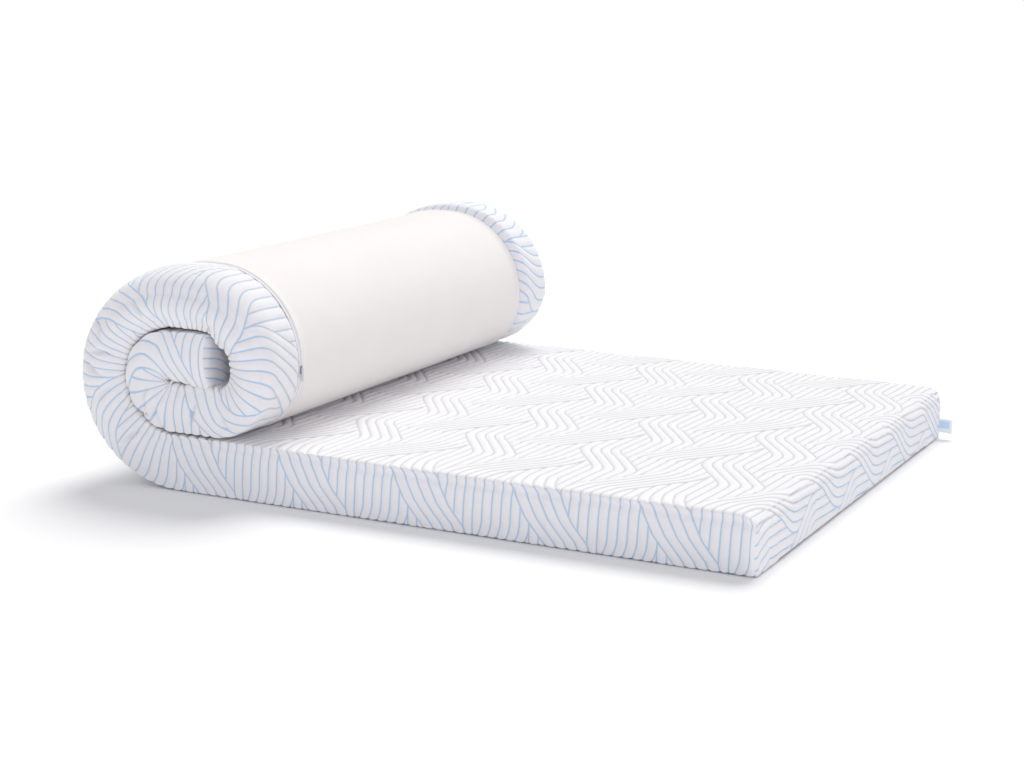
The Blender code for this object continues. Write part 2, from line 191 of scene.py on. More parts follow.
def ribbon_rows(prefix, r):
    """Rows of the table for one ribbon. t is how far down its row a point is, c1 and c2 how far
    through each bend, phase the count of ribs once the jog is taken out, o that count from the
    ribbon's first line, w its width, k the distance from line to line, less where they run aslant,
    on whether the point is on the ribbon, and edge the distance to its edges. A dot stands for the
    prefix."""
    slope = r.jog / (r.back - r.turn)
    rows = [
        (".t0", "ADD", "down", r.lead),
        (".t1", "FLOORED_MODULO", ".t0", REPEAT_ACROSS),
        (".t", "SUBTRACT", ".t1", r.lead),
        (".c1", "CLAMP", ".t", r.turn - r.turn_bend, 2 * r.turn_bend),
        (".c2", "CLAMP", ".t", r.back - r.back_bend, 2 * r.back_bend),
        (".turn", "SUBTRACT", ".c1", ".c2"),
        (".a1", "SUBTRACT", ".t", r.turn + r.turn_bend),
        (".a2", "MAXIMUM", ".a1", 0.0),
        (".b1", "SUBTRACT", ".t", r.back + r.back_bend),
        (".b2", "MAXIMUM", ".b1", 0.0),
        (".q1", "MULTIPLY", ".c1", ".c1"),
        (".q2", "MULTIPLY", ".c2", ".c2"),
        (".r1", "MULTIPLY_ADD", ".q1", r.turn_bend, ".a2"),
        (".r2", "MULTIPLY_ADD", ".q2", r.back_bend, ".b2"),
        (".jog", "SUBTRACT", ".r1", ".r2"),
        (".phase", "MULTIPLY_ADD", ".jog", slope, "rib"),
        (".o1", "SUBTRACT", ".phase", r.first),
        (".o", "FLOORED_MODULO", ".o1", REPEAT_RIBS),
        (".w", "MULTIPLY_ADD", ".turn", r.widening, r.ribs),
        (".k0", "MULTIPLY", ".turn", slope * RIB),
        (".k1", "MULTIPLY_ADD", ".k0", ".k0", 1.0),
        (".k2", "SQRT", ".k1"),
        (".k", "DIVIDE", RIB, ".k2"),
        (".in1", "GREATER_THAN", ".t", r.turn - r.turn_bend),
        (".in2", "LESS_THAN", ".t", r.back + r.back_bend),
        (".row", "MULTIPLY", ".in1", ".in2"),
        (".in3", "LESS_THAN", ".o", ".w"),
        (".on", "MULTIPLY", ".row", ".in3"),
        (".e1", "SUBTRACT", ".o", ".w"),
        (".e2", "ABSOLUTE", ".e1"),
        (".e3", "SUBTRACT", REPEAT_RIBS, ".o"),
        (".e4", "MINIMUM", ".e2", ".e3"),
        (".e5", "MULTIPLY", ".e4", ".k"),
        (".e6", "SUBTRACT", 1.0, ".row"),
        (".edge", "ADD", ".e5", ".e6"),
    ]
    return [tuple(cell.replace(".", prefix) if isinstance(cell, str) else cell for cell in row)
            for row in rows]


# Name of the result, operation, and what it takes: names of results, or numbers.
QUILTING = [
    ("down", "SUBTRACT", CHART_V, "v"),
    ("rib0", "MULTIPLY_ADD", "u", -1 / RIB, CHART_U / RIB),
    ("rib", "MULTIPLY_ADD", "down", LEAN / RIB, "rib0"),
    *ribbon_rows("z", ZIGZAG),
    # the zigzag spreads its own ribs over its width
    ("zf0", "DIVIDE", "zo", "zw"),
    ("zf1", "MULTIPLY", "zf0", ZIGZAG.ribs),
    ("zf2", "PINGPONG", "zf1", 0.5),
    ("zf3", "MULTIPLY", "zf2", "zw"),
    ("zf4", "MULTIPLY", "zf3", 1 / ZIGZAG.ribs),
    ("zline", "MULTIPLY", "zf4", "zk"),
    # the slanted ribbon keeps the ribs' spacing
    *ribbon_rows("d", SLANTED),
    ("dl0", "PINGPONG", "dphase", 0.5),
    ("dline", "MULTIPLY", "dl0", "dk"),
    # straight ribs, then the slanted ribbon over them, both edges, and the zigzag over all
    ("vl0", "PINGPONG", "rib", 0.5),
    ("vline", "MULTIPLY", "vl0", RIB),
    ("m1", "SUBTRACT", "dline", "vline"),
    ("m2", "MULTIPLY_ADD", "don", "m1", "vline"),
    ("m3", "MINIMUM", "zedge", "dedge"),
    ("m4", "MINIMUM", "m2", "m3"),
    ("m5", "SUBTRACT", "zline", "m4"),
    ("distance", "MULTIPLY_ADD", "zon", "m5", "m4"),
    ("bare", "SUBTRACT", 1.0, "zon"),
    ("slanted", "MULTIPLY", "don", "bare"),
]
print(len(QUILTING), "steps in the quilting table")

# %% Run the table with numpy
ON_ARRAYS = {
    "ADD": lambda a, b: a + b,
    "SUBTRACT": lambda a, b: a - b,
    "MULTIPLY": lambda a, b: a * b,
    "DIVIDE": lambda a, b: a / b,
    "MULTIPLY_ADD": lambda a, b, c: a * b + c,
    "MINIMUM": np.minimum,
    "MAXIMUM": np.maximum,
    "ABSOLUTE": np.abs,
    "SQRT": np.sqrt,
    "LESS_THAN": lambda a, b: np.where(a < b, 1.0, 0.0),
    "GREATER_THAN": lambda a, b: np.where(a > b, 1.0, 0.0),
    "FLOORED_MODULO": lambda a, b: a - np.floor(a / b) * b,
    "PINGPONG": lambda a, b: b - np.abs(np.mod(a, 2 * b) - b),
    "CLAMP": lambda a, low, span: np.clip((a - low) / span, 0, 1),
}


def stitch_distance(u, v):
    """Metres from each point of the cloth to the nearest stitch line, by the quilting table, and 1
    where the point is on a slanted ribbon."""
    values = {"u": u, "v": v}
    for name, operation, *takes in QUILTING:
        values[name] = ON_ARRAYS[operation](*[values[t] if isinstance(t, str) else t for t in takes])
    return values["distance"], values["slanted"]


def rib_height(distance, half_rib=0.0062):
    """0 in a stitch line and 1 on a rib's crest: an arch, r times (2 - r), with r the distance as a
    share of half a rib."""
    r = np.clip(distance / half_rib, 0, 1)
    return r * (2 - r)


# %% [markdown]
# ## The pad's section
#
# A ring round the pad is a row of points whose places are worked out for all rings at once. Half a
# ring goes from the middle of the underside's recess, over the rolled edge beside the zip, along
# the quilted border, round the lower long edge, up the side, round the upper edge and along the
# upper face to its middle. The other half mirrors it with its own slackness. A modifier could
# extrude one section along the line, but on real foam the section changes all the way.

# %% Shape of the section
BORDER, ZIP_WIDTH, PANEL_BED = 0.092, 0.006, 0.0025
EDGE_ROUND, ROLL_ROUND, CORE_ROUND, FAR_SHARE = 0.006, 0.060, 0.0045, 0.4
EDGE_HEIGHT = 0.58  # of the lower edge's rounding, for each metre that it reaches in
SIDE_CROWN, ROLL_CROWN = 0.003, 0.006
TOP_ROUND, ROLL_TOP_ROUND, TOP_LIP = 0.009, 0.010, 0.0028
TUCK, TUCK_AT, TUCK_SPREAD = 0.0022, 0.93, 0.06  # the last two as shares of the side's height
DRAW_IN, HEM_IN, HEM_DRAWN = 0.0105, 0.004, 0.7
SLACK_OVER = 0.15  # length of the underside in which the roll's slackness sets in
PRESSED_FROM, PRESSED_OVER = 0.60, 0.06  # along the bed, where the roll presses on its upper edge
END_ROUND, END_LIFT, SOFT_EDGE, SOFT_CORNER = 0.010, 0.15, 0.030, 0.014
TOP_DEPTH, SIDE_DEPTH, END_DEPTH = 0.0032, 0.0018, 0.0028
Rim = namedtuple("Rim", "s near far")
RIMS = [
    Rim(START["back"], 0.0, 0.0),
    Rim(START["top"], -0.003, -0.008),
    Rim(START["crown"], -0.0075, 0.0),
    Rim(START["shoulder"] + SHOULDER_RADIUS * 0.5, -0.0075, 0.003),
    Rim(END["shoulder"], -0.0075, 0.002),
    Rim(END["shoulder"] + HEEL_RADIUS * 0.8, -0.004, -0.006),
    Rim(END["heel"], 0.0, 0.0),
]


def drawn_in(s):
    """How deep the tight panel lies under its border: none on the bed, all of it round the roll."""
    rise = smooth((s - START["foot"]) / (0.5 * FOOT_RADIUS))
    return DRAW_IN * rise * smooth((END["heel"] - s) / (END["heel"] - START["heel"]))


def rounding(s, share):
    """Of the lower long edge, which slackens over the roll's top by that share."""
    rise = smooth((s - START["foot"]) / (START["crown"] - START["foot"]))
    fall = smooth((END["heel"] - s) / (END["heel"] - START["shoulder"]))
    core = smooth((s - START["heel"]) / SLACK_OVER)
    slack = share * (ROLL_ROUND - EDGE_ROUND) * rise * fall
    return EDGE_ROUND + slack + (CORE_ROUND - EDGE_ROUND) * core


def rolled(s):
    """0 on the flat bed and 1 once the pad is wound up, where its sides puff out."""
    return smooth((s - START["foot"]) / SLACK_OVER)


def half_section(s, side, counts):
    """Distance in from the side, d, and depth from the underside, h, of half of every ring: one row
    for each s. Straight stretches are mixed from their ends, and the three rounded ones are quarter
    ellipses, with the sine and cosine of a rising angle."""
    s = np.asarray(s, float)[:, None]
    edge = rounding(s, 1.0 if side == "near" else FAR_SHARE)
    rim = np.interp(s, [r.s for r in RIMS], [getattr(r, side) for r in RIMS])
    thick, deep = thickness(s), drawn_in(s) + PANEL_BED
    pressed = smooth((s - PRESSED_FROM) / PRESSED_OVER) * (1 - rolled(s))
    top_round = (TOP_ROUND + (ROLL_TOP_ROUND - TOP_ROUND) * rolled(s)) * (1 - 0.5 * pressed)
    crown = SIDE_CROWN + ROLL_CROWN * rolled(s)
    lip, tuck = TOP_LIP * (1 - rolled(s)) * (1 - 0.8 * pressed), TUCK * (1 - rolled(s))
    zip_edge, roll_in = BORDER - ZIP_WIDTH, HEM_IN + HEM_DRAWN * drawn_in(s)
    share = {name: np.arange(n) / n for name, n in counts.items()}
    q, lower, upper = (share[name] * np.pi / 2 for name in ("hem", "lower", "upper"))
    side_up, level = share["side"], 0 * s
    rows = [
        (WIDTH / 2 + share["recess"] * (zip_edge - WIDTH / 2) + level, deep + 0 * share["recess"]),
        (zip_edge - roll_in * (1 - np.cos(q)), deep - (deep + rim) * np.sin(q)),
        (zip_edge - roll_in + share["border"] * (edge - zip_edge + roll_in),
         -rim + 0 * share["border"]),
        (edge * (1 - np.sin(lower)), EDGE_HEIGHT * edge * (1 - np.cos(lower)) - rim),
        (-4 * crown * side_up * (1 - side_up) + tuck * np.exp(-((side_up - TUCK_AT) / TUCK_SPREAD) ** 2),
         (EDGE_HEIGHT * edge - rim) * (1 - side_up) + (thick - top_round) * side_up),
        (top_round * (1 - np.cos(upper)) - lip * np.sin(2 * upper) + tuck * 0.25 * np.cos(upper) ** 4,
         thick - top_round * (1 - np.sin(upper))),
        (top_round + share["top"] * (WIDTH / 2 - top_round), thick + 0 * share["top"]),
    ]
    return np.hstack([d for d, _ in rows]), np.hstack([h for _, h in rows])


def sections(s, inset, counts):
    """y, h and cloth width v of whole rings. v is the path length round the ring, counted from
    0.9 m / 2 at the middle of the upper face. inset shrinks a ring about its middle, its lower half
    only a little, because it lies on the floor."""
    d_near, h_near = half_section(s, "near", counts)
    d_far, h_far = half_section(s, "far", counts)
    thick = thickness(s)[:, None]
    y = np.hstack([d_near - WIDTH / 2, 0 * thick, (WIDTH / 2 - d_far)[:, :0:-1]])
    h = np.hstack([h_near, thick, h_far[:, :0:-1]])
    step = np.hypot(np.diff(y, axis=1), np.diff(h, axis=1))
    v = np.hstack([0 * thick, np.cumsum(step, axis=1)])
    v = pattern_width(v + WIDTH / 2 - v[:, [d_near.shape[1]]])
    above = np.interp(s, SETTLED_S, UPPER_SWELL)[:, None]
    below = np.interp(s, SETTLED_S, UNDER_SWELL)[:, None]
    h = h * (1 + (above + below) / thick) - below
    half, shrink = thick / 2, np.asarray(inset)[:, None]
    lift = np.where(h < half, END_LIFT, 1.0) * shrink
    return y * (1 - shrink / (WIDTH / 2)), half + (h - half) * (1 - lift / half), v


def groove_depth(v, dense):
    """Of a stitch line below the crests: deep on the upper face, shallow where the cloth is pulled
    tight round the sides and the border, and shallow in the dense, slanted ribbons. It changes over
    14 mm at the face's near edge and over 12 mm at its far one."""
    on_top = smooth((v - 0.010) / 0.014) * smooth((WIDTH + 0.006 - v) / 0.012)
    return (SIDE_DEPTH + (TOP_DEPTH - SIDE_DEPTH) * on_top) * (1 - 0.5 * dense * on_top)


def soft_edge(points):
    """Rounds the upper edge and the two upright corners of the open end. Near an edge a point has
    two shares, a along the pad and b upwards or sideways, both 1 at the sharp corner. Each shrinks
    by the root of 1 less half of the other's square, and that turns the square into a quarter circle."""
    moved = points.copy()
    for axis, edge, radius in ((2, THICK, SOFT_EDGE), (1, WIDTH / 2, SOFT_CORNER)):
        side = np.sign(moved[..., axis])
        a = np.maximum((moved[..., 0] - (X_OPEN - radius)) / radius, 0)
        b = np.maximum((side * moved[..., axis] - (edge - radius)) / radius, 0)
        moved[..., 0] += radius * a * (np.sqrt(1 - np.minimum(b, 1.2) ** 2 / 2) - 1)
        moved[..., axis] += side * radius * b * (np.sqrt(1 - np.minimum(a, 1.2) ** 2 / 2) - 1)
    return moved


# %% [markdown]
# ## How the turns settle
#
# Foam that is rolled up swells until its turns touch, and a fixed thickness would leave daylight
# between them. A soft-body simulation could press them together, but here the gap is measured
# along the line and each face takes half of it, which is exact and takes no time.

# %% Swelling of both faces
TOUCH_GAP, SWELL_MOST, FADE_END, FADE_OVER = 0.0015, 0.008, 0.032, 0.010
OTHER_TURN = 0.2  # a face this much further along the line belongs to another turn


def settled():
    """Tables of how far the upper face and the underside swell so that the turns touch. A point's
    gap is its distance to the nearest face of another turn, and each face takes half of the gap less
    TOUCH_GAP, up to SWELL_MOST. The swelling fades to none where the gap grows to FADE_END."""
    s = np.linspace(0, TOTAL, 1600)
    upper = place(s, 0, thickness(s))[:, [0, 2]]
    under = place(s, 0, 0)[:, [0, 2]]
    both = np.concatenate([upper, under])
    apart = np.abs(s[:, None] - np.concatenate([s, s])[None, :]) > OTHER_TURN
    roll = (s > START["foot"]) & (s < END["shoulder"])
    core = s > START["second layer"]
    kernel = np.hanning(41) / np.hanning(41).sum()
    swell = []
    for face, where in ((upper, roll | core), (under, s > START["fold"])):
        gap = np.linalg.norm(face[:, None] - both[None], axis=-1)
        gap = np.where(apart, gap, 1.0).min(axis=1)
        grown = np.clip((gap - TOUCH_GAP) / 2, 0, SWELL_MOST) * smooth((FADE_END - gap) / FADE_OVER) * where
        swell.append(np.convolve(np.pad(grown, 20, mode="edge"), kernel, mode="valid"))
    return s, *swell


SETTLED_S, UPPER_SWELL, UNDER_SWELL = settled()
print(f"turns swell by up to {1000 * UPPER_SWELL.max():.1f} mm above, {1000 * UNDER_SWELL.max():.1f} below")


# %% Where the pattern lies across the pad
def pattern_width(v):
    """v of the pattern from the path length round the section. The knit is stretched near the edge
    of the upper face and down the sides, and gathered again where it turns under the lower edge."""
    path = np.array([-3.0, -0.090, -0.045, 0.0, 0.5 * UNIT])
    rate = np.array([0.75, 1.15, 0.75, 0.57])
    pattern = 0.5 * UNIT - np.append(np.cumsum((np.diff(path) * rate)[::-1])[::-1], 0.0)
    return np.interp(v, np.append(path, [WIDTH, WIDTH + 3.0]),
                     np.append(pattern, [WIDTH, WIDTH + 3.0 * 0.75]))


# %% Stations along the pad
def cloth_length(s):
    """u, the length of the pad's middle from the open end to s: in a bend the middle is shorter than
    the underside by half the thickness over the radius."""
    fine = np.linspace(0, TOTAL, 8001)
    rate = 1 - BENDS[run_of(fine)] * thickness(fine) / 2
    u = np.concatenate([[0], np.cumsum((rate[1:] + rate[:-1]) / 2 * np.diff(fine))])
    return np.interp(s, fine, u)


EDGE_RINGS, SEEN_TO, SEEN_STEP, HIDDEN_STEP = 6, 0.74, 0.0019, 0.0028


def stations():
    """s and inset of every ring: a few round each end's edge, up to the seam at 45 degrees, and the
    rest evenly, closer on the open bed than under the roll and round it."""
    turn = np.radians(np.linspace(45, 0, EDGE_RINGS))
    start = END_ROUND * (1 - np.sin(turn))
    between = [np.linspace(a, b, round((b - a) / step) + 1)[1:] for a, b, step in (
        (END_ROUND, SEEN_TO, SEEN_STEP), (SEEN_TO, BED_LENGTH, HIDDEN_STEP),
        (BED_LENGTH, TOTAL - END_ROUND, HIDDEN_STEP))]
    s = np.concatenate([start, *between, TOTAL - start[-2::-1]])
    inset = np.zeros(len(s))
    inset[:EDGE_RINGS] = END_ROUND * (1 - np.cos(turn))
    inset[-EDGE_RINGS:] = inset[:EDGE_RINGS][::-1]
    return s, inset


RING_S, RING_INSET = stations()
RING_U = cloth_length(RING_S)
print(len(RING_S), "rings,", f"cloth {RING_U[-1]:.3f} m along the middle")

# %% [markdown]
# ## The cover as a mesh
#
# The cover is one cloth, but it is made in four lengths of the pad so that no mesh is too heavy:
# the open end, the middle of the bed, the part that runs under the roll, and the roll. They meet
# ring to ring, and each takes its normals from one ring past the joint, so the joint doesn't show.
# Displacing a dense plane with a texture would be the usual way. Moving the rings' own points does
# the same, and the stitch lines stay sharp with fewer faces.

# %% Rings with the stitch lines pushed in
Length = namedtuple("Length", "name first last counts")
BED_COUNTS = {"recess": 3, "hem": 3, "border": 5, "lower": 8, "side": 24, "upper": 8, "top": 174}
ROLL_COUNTS = {"recess": 3, "hem": 6, "border": 24, "lower": 8, "side": 24, "upper": 8, "top": 12}


def unit(vectors):
    """Each vector over its own length."""
    return vectors / np.maximum(np.linalg.norm(vectors, axis=-1, keepdims=True), 1e-12)


def grid_normals(points):
    """Across closed rings: the cross product of the steps to the neighbours round and along."""
    round_step = np.roll(points, -1, axis=1) - np.roll(points, 1, axis=1)
    return unit(np.cross(round_step, np.gradient(points, axis=0)))


SEAM_SIDE, SEAM_REACH, SEAM_FADE = 0.014, 0.012, 0.003


def quilted_rings(first, last, counts):
    """Points, v and u of rings first to last. The stitch lines move a point into the pad, along the
    plain surface's normal, by the groove's depth times 1 less the rib's height. They fade out at
    the upright corner seams, where the two cloths are pinched together."""
    s, u = RING_S[first:last], RING_U[first:last]
    y, h, v = sections(s, RING_INSET[first:last], counts)
    plain = place(s[:, None], y, h)
    column = np.minimum(np.arange(y.shape[1]), y.shape[1] - np.arange(y.shape[1]))
    quilted = column > counts["recess"] + 1
    to_end = np.minimum(s, TOTAL - s)[:, None]
    pinch = 1 - (np.abs(y) > WIDTH / 2 - SEAM_SIDE) * (1 - smooth(to_end / SEAM_REACH))
    distance, dense = stitch_distance(u[:, None] + 0 * v, v)
    depth = groove_depth(v, dense) * (1 - rib_height(distance)) + uneven(u[:, None], v)
    return plain - grid_normals(plain) * (depth * quilted * pinch)[..., None], v, u


# %% Creases
# Where the bends press creases into the sides: run, share along it, v, half length across the pad,
# half width, slant, depth.
CREASES = [
    ("back", 0.30, -0.006, 0.019, 0.0030, 0.5, 0.0084),
    ("back", 0.50, -0.022, 0.029, 0.0035, -0.4, 0.0078),
    ("back", 0.66, -0.010, 0.024, 0.0030, 0.3, 0.0091),
    ("back", 0.82, -0.030, 0.022, 0.0030, -0.6, 0.0062),
    ("foot", 0.75, -0.004, 0.017, 0.0030, -0.5, 0.0084),
    ("top", 0.40, -0.006, 0.017, 0.0028, 0.4, 0.0073),
    ("heel", 0.85, -0.020, 0.022, 0.0028, 0.2, 0.0084),
    ("second layer", 0.45, -0.010, 0.022, 0.0028, -0.3, 0.0084),
    ("fold", 0.25, -0.030, 0.024, 0.0030, 0.3, 0.0091),
    ("fold", 0.50, -0.046, 0.019, 0.0030, -0.5, 0.0084),
    ("fold", 0.62, -0.020, 0.022, 0.0030, 0.7, 0.0084),
]


def uneven(u, v):
    """Hand-filled foam is never quite even: slow waves of 0.7 mm, and the table's creases, each a
    bell in its width and a smooth arch along its length."""
    depth = 0.00035 * (1 + np.sin(31 * u + 2 * np.sin(23 * v)) * np.sin(37 * v + 1.7 * np.sin(19 * u)))
    for run, share, v0, length, width, slant, deep in CREASES:
        middle = cloth_length(START[run] + share * (END[run] - START[run]))
        along = (u - middle - slant * (v - v0)) / width
        depth = depth + deep * np.exp(-along ** 2) * smooth(1 - np.abs(v - v0) / length)
    return depth


print(len(CREASES), "creases")


# %% Helpers that turn a grid into a mesh
def ring_faces(rings, columns):
    """Quads between closed rings: each point, its right neighbour, and the two on the next ring."""
    r, c = np.meshgrid(np.arange(rings - 1), np.arange(columns), indexing="ij")
    right = (c + 1) % columns
    return np.stack([r * columns + c, r * columns + right,
                     (r + 1) * columns + right, (r + 1) * columns + c], axis=-1).reshape(-1, 4)


def corner_uv(u, v, u_right, v_right):
    """Cloth coordinates at the corners of a grid's quads: each point's, its right neighbour's, and
    the same two on the next ring."""
    corners = ((u[:-1], v[:-1]), (u_right[:-1], v_right[:-1]), (u_right[1:], v_right[1:]),
               (u[1:], v[1:]))
    return np.stack([np.stack(pair, axis=-1) for pair in corners], axis=2).reshape(-1, 2)


def make_mesh(name, points, faces, uv):
    """A named object from points and a list of face arrays, smooth. uv holds u and v for every
    corner of every face, in metres. The mesh is closed, so if its volume comes out negative, its
    faces point inwards, and they are all turned round."""
    mesh = bpy.data.meshes.new(name)
    mesh.from_pydata(points.reshape(-1, 3).tolist(), [], [f for part in faces for f in part.tolist()])
    mesh.uv_layers.new(name="cloth").data.foreach_set("uv", uv.astype(np.float32).ravel())
    mesh.shade_smooth()
    mesh.update()
    solid = bmesh.new()
    solid.from_mesh(mesh)
    if solid.calc_volume(signed=True) < 0:
        mesh.flip_normals()
    solid.free()
    obj = bpy.data.objects.new(name, mesh)
    scene.collection.objects.link(obj)
    print(f"{name}: {sum(len(p.vertices) - 2 for p in mesh.polygons)} triangles")
    return obj


# %% [markdown]
# ## Upright ends
#
# At both ends of the pad the quilted cloth of the upper face comes down over the edge and is sewn
# to the border below. Filling the last ring with one big face would be flat and hold no stitch
# line, so a grid is stretched over it, mixed from the ring's four sides.

# %% End faces
def side_columns(counts):
    """First column of the near side and its last, from the middle of the lower edge's rounding to
    the middle of the upper one's."""
    low = counts["recess"] + counts["hem"] + counts["border"] + counts["lower"] // 2
    high = low + counts["lower"] - counts["lower"] // 2 + counts["side"] + counts["upper"] // 2
    return low, high


def zipper(fine, coarse, fine_at, coarse_at):
    """Triangles of a strip between two rows with different numbers of points: each step of a row
    meets the point of the other row that lies beside the step's middle."""
    fine_mid = (fine_at[1:] + fine_at[:-1]) / 2
    coarse_mid = (coarse_at[1:] + coarse_at[:-1]) / 2
    beside_fine = coarse[np.searchsorted(coarse_mid, fine_mid)]
    beside_coarse = fine[np.searchsorted(fine_mid, coarse_mid)]
    return np.concatenate([
        np.stack([fine[:-1], fine[1:], beside_fine], axis=-1),
        np.stack([coarse[1:], coarse[:-1], beside_coarse], axis=-1),
    ])


def end_face(ring, u_ring, v_ring, counts, at_start, base, count):
    """Closes a ring with an upright face of rows and columns. The face's outline is the ring, its
    inside is mixed from the outline's four sides, and it bulges by END_ROUND over its first 10 mm.
    The cloth comes over the upper edge, so its u goes on down the face. base and count are the
    numbers of the ring's first point and of the first new one. Gives the new points, the faces and
    their cloth coordinates."""
    columns = len(ring)
    inside_s, end_s = (1e-3, 0.0) if at_start else (TOTAL - 1e-3, TOTAL)
    heading = unit(place(end_s, 0, 0) - place(inside_s, 0, 0))
    low, high = side_columns(counts)
    near = np.arange(high, low - 1, -1)
    far = columns - near
    top = np.arange(high, columns - high + 1)
    bottom = np.concatenate([np.arange(low, -1, -1), np.arange(columns - 1, columns - low - 1, -1)])
    rows, across = len(near), len(top)
    flat = ring - ring[0]
    axis = unit(ring[columns // 2] - ring[0])
    height = flat @ axis
    y = ring[:, 1]
    a = np.linspace(0, 1, across)[None, :]
    b = np.linspace(0, 1, rows)[:, None]

    def mixed(values):
        """Outline values spread over the face: the two sides' mix plus the top and bottom's mix,
        less what the corners would count twice."""
        low_row = np.interp(a[0], (y[bottom] - y[bottom][0]) / (y[bottom][-1] - y[bottom][0]),
                            values[bottom])
        sides = (1 - a) * values[near][:, None] + a * values[far][:, None]
        ends = (1 - b) * values[top][None, :] + b * low_row[None, :]
        corner = ((1 - a) * (1 - b) * values[near[0]] + a * (1 - b) * values[far[0]]
                  + (1 - a) * b * values[near[-1]] + a * b * values[far[-1]])
        return sides + ends - corner

    face_y, face_h = mixed(y), mixed(height)
    to_edge = np.minimum(np.minimum(face_y - y[near][:, None], y[far][:, None] - face_y),
                         np.minimum(face_h[:1] - face_h, face_h - face_h[-1:]))
    start = END_ROUND * (1 - np.sqrt(0.5))
    reach = np.clip((to_edge + start) / END_ROUND, 0, 1)
    bulge = END_ROUND * (np.sqrt(reach * (2 - reach)) - np.sqrt(0.5))
    v = np.interp(face_y, y[top], v_ring[top])
    down = (height[near][0] - height[near])[:, None]
    u = u_ring + (-1 if at_start else 1) * (down + bulge * 0.5)
    pinch = smooth(np.minimum(face_y - y[near][:, None], y[far][:, None] - face_y) / SEAM_REACH)
    groove = END_DEPTH * (1 - rib_height(stitch_distance(u, v)[0])) + uneven(u, v)
    out = bulge - groove * smooth((face_h - face_h[-1:]) / SEAM_FADE) * pinch
    points = ring[0] + axis * face_h[..., None] + heading * out[..., None]
    points[..., 1] = face_y
    inner = points[1:-1, 1:-1].reshape(-1, 3)
    index = np.empty((rows, across), int)
    index[1:-1, 1:-1] = count + np.arange(len(inner)).reshape(rows - 2, across - 2)
    index[0], index[:, 0], index[:, -1] = base + top, base + near, base + far
    quad = np.stack([index[:-2, :-1], index[:-2, 1:], index[1:-1, 1:], index[1:-1, :-1]], -1).reshape(-1, 4)
    quad_uv = corner_uv(u[:-1, :-1], v[:-1, :-1], u[:-1, 1:], v[:-1, 1:]).reshape(-1, 4, 2)
    strip = zipper(index[-2], base + bottom, v[-2] - WIDTH / 2, y[bottom])
    if at_start:
        quad, strip, quad_uv = quad[:, ::-1], strip[:, ::-1], quad_uv[:, ::-1]
    strip_uv = np.zeros((strip.size, 2)) + (u[-2].mean(), 0)
    return inner, [quad, strip], [quad_uv.reshape(-1, 2), strip_uv]


# %% The four lengths
def cover_length(spec):
    """One length of the cover: its rings, an end face where the pad ends, and a plain cut face
    where the next length goes on. Normals are worked out from one ring past each cut."""
    first, last, counts = spec.first, spec.last, spec.counts
    lead, trail = int(first > 0), int(last < len(RING_S))
    points, v, u = quilted_rings(first - lead, last + trail, counts)
    shape = np.copy if lead else soft_edge
    keep = slice(lead, len(points) - trail)
    normals = grid_normals(shape(points))[keep]
    points, v, u = points[keep], v[keep], u[keep]
    rings, columns = points.shape[:2]
    along = u[:, None] + 0 * v
    vertices, faces = [points.reshape(-1, 3)], [ring_faces(rings, columns)]
    uvs = [corner_uv(along, v, along, np.hstack([v[:, 1:], v[:, -1:] + 0.05]))]
    ends = ((lead, 0), (trail, rings - 1))
    for cut, row in ends:
        loop = row * columns + np.arange(columns)[None]
        if cut:
            faces.append(loop[:, ::-1] if row == 0 else loop)
            uvs.append(np.zeros((columns, 2)))
        else:
            inner, more_faces, more_uvs = end_face(
                points[row], u[row], v[row], counts, row == 0, row * columns, rings * columns)
            vertices.append(inner)
            faces += more_faces
            uvs += more_uvs
    obj = make_mesh(spec.name, shape(np.concatenate(vertices)), faces, np.concatenate(uvs))
    shared = np.empty((len(obj.data.vertices), 3), np.float32)
    obj.data.vertex_normals.foreach_get("vector", shared.ravel())
    sign = np.sign((normals.reshape(-1, 3) * shared[:rings * columns]).sum())
    for cut, row in ends:
        if cut:
            shared[row * columns:(row + 1) * columns] = sign * normals[row]
    obj.data.normals_split_custom_set_from_vertices(shared.tolist())
    return obj


CUTS_AT = (0.30, 0.59, BED_LENGTH)  # where along the underside the next length goes on
cuts = [int(np.searchsorted(RING_S, s - 1e-6)) for s in CUTS_AT]
LENGTHS = [
    Length("quilted_cover_open_end", 0, cuts[0] + 1, BED_COUNTS),
    Length("quilted_cover_middle", cuts[0], cuts[1] + 1, BED_COUNTS),
    Length("quilted_cover_under_roll", cuts[1], cuts[2] + 1, BED_COUNTS),
    Length("quilted_cover_roll", cuts[2], len(RING_S), ROLL_COUNTS),
]
cover = [cover_length(spec) for spec in LENGTHS]

# %% [markdown]
# ## The panel and the zip
#
# The underside's smooth panel is a single sheet of knit, sewn to the two zip tapes and pulled tight
# round the roll. Each tape lies in the step between panel and quilted border, with its row of teeth
# down the middle. A curve with a bevel could carry such strips, but it would twist in the bends, so
# their section is placed with the same function as the pad's.

# %% A strip that follows the underside
END_BORDER, STRIP_INSET = 0.085, 0.004
PANEL_THICK, ZIP_THICK, ZIP_SINK, SEAM_GAP = 0.002, 0.0013, 0.0006, 0.0004
HEM_WIDTH, HEM_RISE, WRINKLE, PANEL_STEP = 0.0045, 0.0013, 0.0005, 0.007
TOOTH_PITCH, TOOTH_RISE = 0.003, 0.0006
panel_edge = WIDTH / 2 - BORDER


def closed_tube(name, points, uv):
    """A mesh of closed rings, with both ends shut by one face each."""
    rings, columns = points.shape[:2]
    loop = np.arange(columns)[None]
    faces = [ring_faces(rings, columns), loop[:, ::-1], (rings - 1) * columns + loop]
    return make_mesh(name, points, faces, np.concatenate([uv, np.zeros((2 * columns, 2))]))


